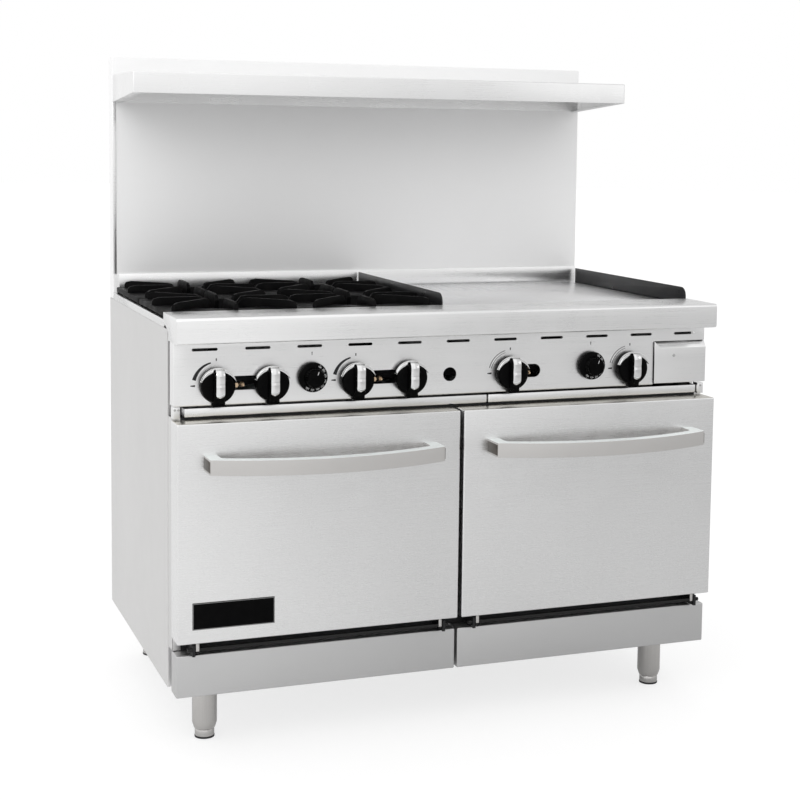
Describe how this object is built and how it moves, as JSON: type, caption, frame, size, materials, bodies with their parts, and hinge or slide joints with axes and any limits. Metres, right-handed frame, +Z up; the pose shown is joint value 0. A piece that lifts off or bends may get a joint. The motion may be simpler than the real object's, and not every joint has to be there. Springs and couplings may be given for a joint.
{
  "type": "commercial gas range",
  "caption": "Free-standing restaurant gas range with open burners, a griddle, drop-door ovens, a backguard with a high shelf, and adjustable legs.",
  "frame": {"origin": "on the floor, below the centre of the bounding box (back plane to the bow of the door handles)", "axes": "+Z up; the front with the knobs and doors faces -Y; +X runs along the front from the burners to the griddle"},
  "size_m": [1.219, 0.87, 1.44],
  "materials": {
    "brushed_stainless": "brushed",
    "polished_stainless": "polished",
    "galvanised_steel": "galvanised",
    "aluminised_steel": "aluminised",
    "handle_metal": "satin",
    "cast_iron": "matt",
    "griddle_steel": "ground",
    "black_enamel": "satin",
    "gas_pipe": "matt",
    "knob_plastic": "semi-gloss",
    "rack_wire": "plated"
  },
  "bodies": {
    "range_body": {"side_panel_left": "brushed_stainless", "side_panel_right": "brushed_stainless", "rear_panel": "galvanised_steel", "base_frame": "galvanised_steel", "front_frame": "black_enamel", "cooktop_frame": "brushed_stainless", "front_rail": "polished_stainless", "control_panel": "brushed_stainless", "backguard": "brushed_stainless", "high_shelf": "polished_stainless", "kick_panel_left": "brushed_stainless", "kick_panel_right": "brushed_stainless", "oven_liner_left": "aluminised_steel", "oven_liner_right": "aluminised_steel", "oven_burner_left": "aluminised_steel", "oven_burner_right": "aluminised_steel", "burner_front_left": "cast_iron", "burner_front_right": "cast_iron", "burner_rear_left": "cast_iron", "burner_rear_right": "cast_iron", "griddle_plate": "griddle_steel", "griddle_splash_left": "black_enamel", "griddle_splash_right": "black_enamel", "griddle_burner_left": "aluminised_steel", "griddle_burner_right": "aluminised_steel", "gas_manifold": "gas_pipe", "leg_tube_front_left": "polished_stainless", "leg_tube_front_right": "polished_stainless", "leg_tube_rear_left": "polished_stainless", "leg_tube_rear_right": "polished_stainless"},
    "door_left": {"door_skin_left": "brushed_stainless", "door_liner_left": "aluminised_steel", "door_handle_left": "handle_metal", "door_hinge_rod_left": "polished_stainless"},
    "door_right": {"door_skin_right": "brushed_stainless", "door_liner_right": "aluminised_steel", "door_handle_right": "handle_metal", "door_hinge_rod_right": "polished_stainless"},
    "rack_left": {"oven_rack_left": "rack_wire"},
    "rack_right": {"oven_rack_right": "rack_wire"},
    "knob_1": {"burner_knob_1": "knob_plastic"},
    "knob_2": {"burner_knob_2": "knob_plastic"},
    "knob_3": {"burner_knob_3": "knob_plastic"},
    "knob_4": {"burner_knob_4": "knob_plastic"},
    "knob_5": {"burner_knob_5": "knob_plastic"},
    "knob_6": {"burner_knob_6": "knob_plastic"},
    "dial_left": {"oven_dial_left": "knob_plastic"},
    "dial_right": {"oven_dial_right": "knob_plastic"},
    "tray_left": {"crumb_tray_left": "polished_stainless"},
    "tray_right": {"crumb_tray_right": "polished_stainless"},
    "drawer": {"grease_drawer": "brushed_stainless"},
    "grate_front_left_lift": {"grate_front_left": "cast_iron"},
    "grate_front_right_lift": {"grate_front_right": "cast_iron"},
    "grate_rear_left_lift": {"grate_rear_left": "cast_iron"},
    "grate_rear_right_lift": {"grate_rear_right": "cast_iron"},
    "foot_front_left": {"leg_foot_front_left": "polished_stainless"},
    "foot_front_right": {"leg_foot_front_right": "polished_stainless"},
    "foot_rear_left": {"leg_foot_rear_left": "polished_stainless"},
    "foot_rear_right": {"leg_foot_rear_right": "polished_stainless"}
  },
  "joints": [
    {"name": "door_left_hinge", "type": "hinge", "parent": "range_body", "child": "door_left", "pos_m": [-0.30685, -0.322, 0.2235], "axis": [1, 0, 0], "range_deg": [0, 90]},
    {"name": "door_right_hinge", "type": "hinge", "parent": "range_body", "child": "door_right", "pos_m": [0.30685, -0.322, 0.2235], "axis": [1, 0, 0], "range_deg": [0, 90]},
    {"name": "rack_left_slide", "type": "slide", "parent": "range_body", "child": "rack_left", "axis": [0, -1, 0], "range_m": [0, 0.045]},
    {"name": "rack_right_slide", "type": "slide", "parent": "range_body", "child": "rack_right", "axis": [0, -1, 0], "range_m": [0, 0.045]},
    {"name": "knob_1_turn", "type": "hinge", "parent": "range_body", "child": "knob_1", "pos_m": [-0.519, -0.285, 0.755], "axis": [0, -1, 0], "range_deg": [0, 90]},
    {"name": "knob_2_turn", "type": "hinge", "parent": "range_body", "child": "knob_2", "pos_m": [-0.406, -0.285, 0.755], "axis": [0, -1, 0], "range_deg": [0, 90]},
    {"name": "knob_3_turn", "type": "hinge", "parent": "range_body", "child": "knob_3", "pos_m": [-0.223, -0.285, 0.755], "axis": [0, -1, 0], "range_deg": [0, 90]},
    {"name": "knob_4_turn", "type": "hinge", "parent": "range_body", "child": "knob_4", "pos_m": [-0.105, -0.285, 0.755], "axis": [0, -1, 0], "range_deg": [0, 90]},
    {"name": "knob_5_turn", "type": "hinge", "parent": "range_body", "child": "knob_5", "pos_m": [0.128, -0.285, 0.755], "axis": [0, -1, 0], "range_deg": [0, 90]},
    {"name": "knob_6_turn", "type": "hinge", "parent": "range_body", "child": "knob_6", "pos_m": [0.418, -0.285, 0.755], "axis": [0, -1, 0], "range_deg": [0, 90]},
    {"name": "dial_left_turn", "type": "hinge", "parent": "range_body", "child": "dial_left", "pos_m": [-0.318, -0.285, 0.764], "axis": [0, -1, 0], "range_deg": [0, 280]},
    {"name": "dial_right_turn", "type": "hinge", "parent": "range_body", "child": "dial_right", "pos_m": [0.321, -0.285, 0.764], "axis": [0, -1, 0], "range_deg": [0, 280]},
    {"name": "tray_left_slide", "type": "slide", "parent": "range_body", "child": "tray_left", "axis": [0, -1, 0], "range_m": [0, 0.5]},
    {"name": "tray_right_slide", "type": "slide", "parent": "range_body", "child": "tray_right", "axis": [0, -1, 0], "range_m": [0, 0.5]},
    {"name": "drawer_slide", "type": "slide", "parent": "range_body", "child": "drawer", "axis": [0, -1, 0], "range_m": [0, 0.32]},
    {"name": "grate_front_left_lift_off", "type": "slide", "parent": "range_body", "child": "grate_front_left_lift", "axis": [0, 0, 1], "range_m": [0, 0.15]},
    {"name": "grate_front_right_lift_off", "type": "slide", "parent": "range_body", "child": "grate_front_right_lift", "axis": [0, 0, 1], "range_m": [0, 0.15]},
    {"name": "grate_rear_left_lift_off", "type": "slide", "parent": "range_body", "child": "grate_rear_left_lift", "axis": [0, 0, 1], "range_m": [0, 0.15]},
    {"name": "grate_rear_right_lift_off", "type": "slide", "parent": "range_body", "child": "grate_rear_right_lift", "axis": [0, 0, 1], "range_m": [0, 0.15]},
    {"name": "foot_front_left_adjust", "type": "slide", "parent": "range_body", "child": "foot_front_left", "axis": [0, 0, -1], "range_m": [0, 0.025]},
    {"name": "foot_front_right_adjust", "type": "slide", "parent": "range_body", "child": "foot_front_right", "axis": [0, 0, -1], "range_m": [0, 0.025]},
    {"name": "foot_rear_left_adjust", "type": "slide", "parent": "range_body", "child": "foot_rear_left", "axis": [0, 0, -1], "range_m": [0, 0.025]},
    {"name": "foot_rear_right_adjust", "type": "slide", "parent": "range_body", "child": "foot_rear_right", "axis": [0, 0, -1], "range_m": [0, 0.025]}
  ]
}
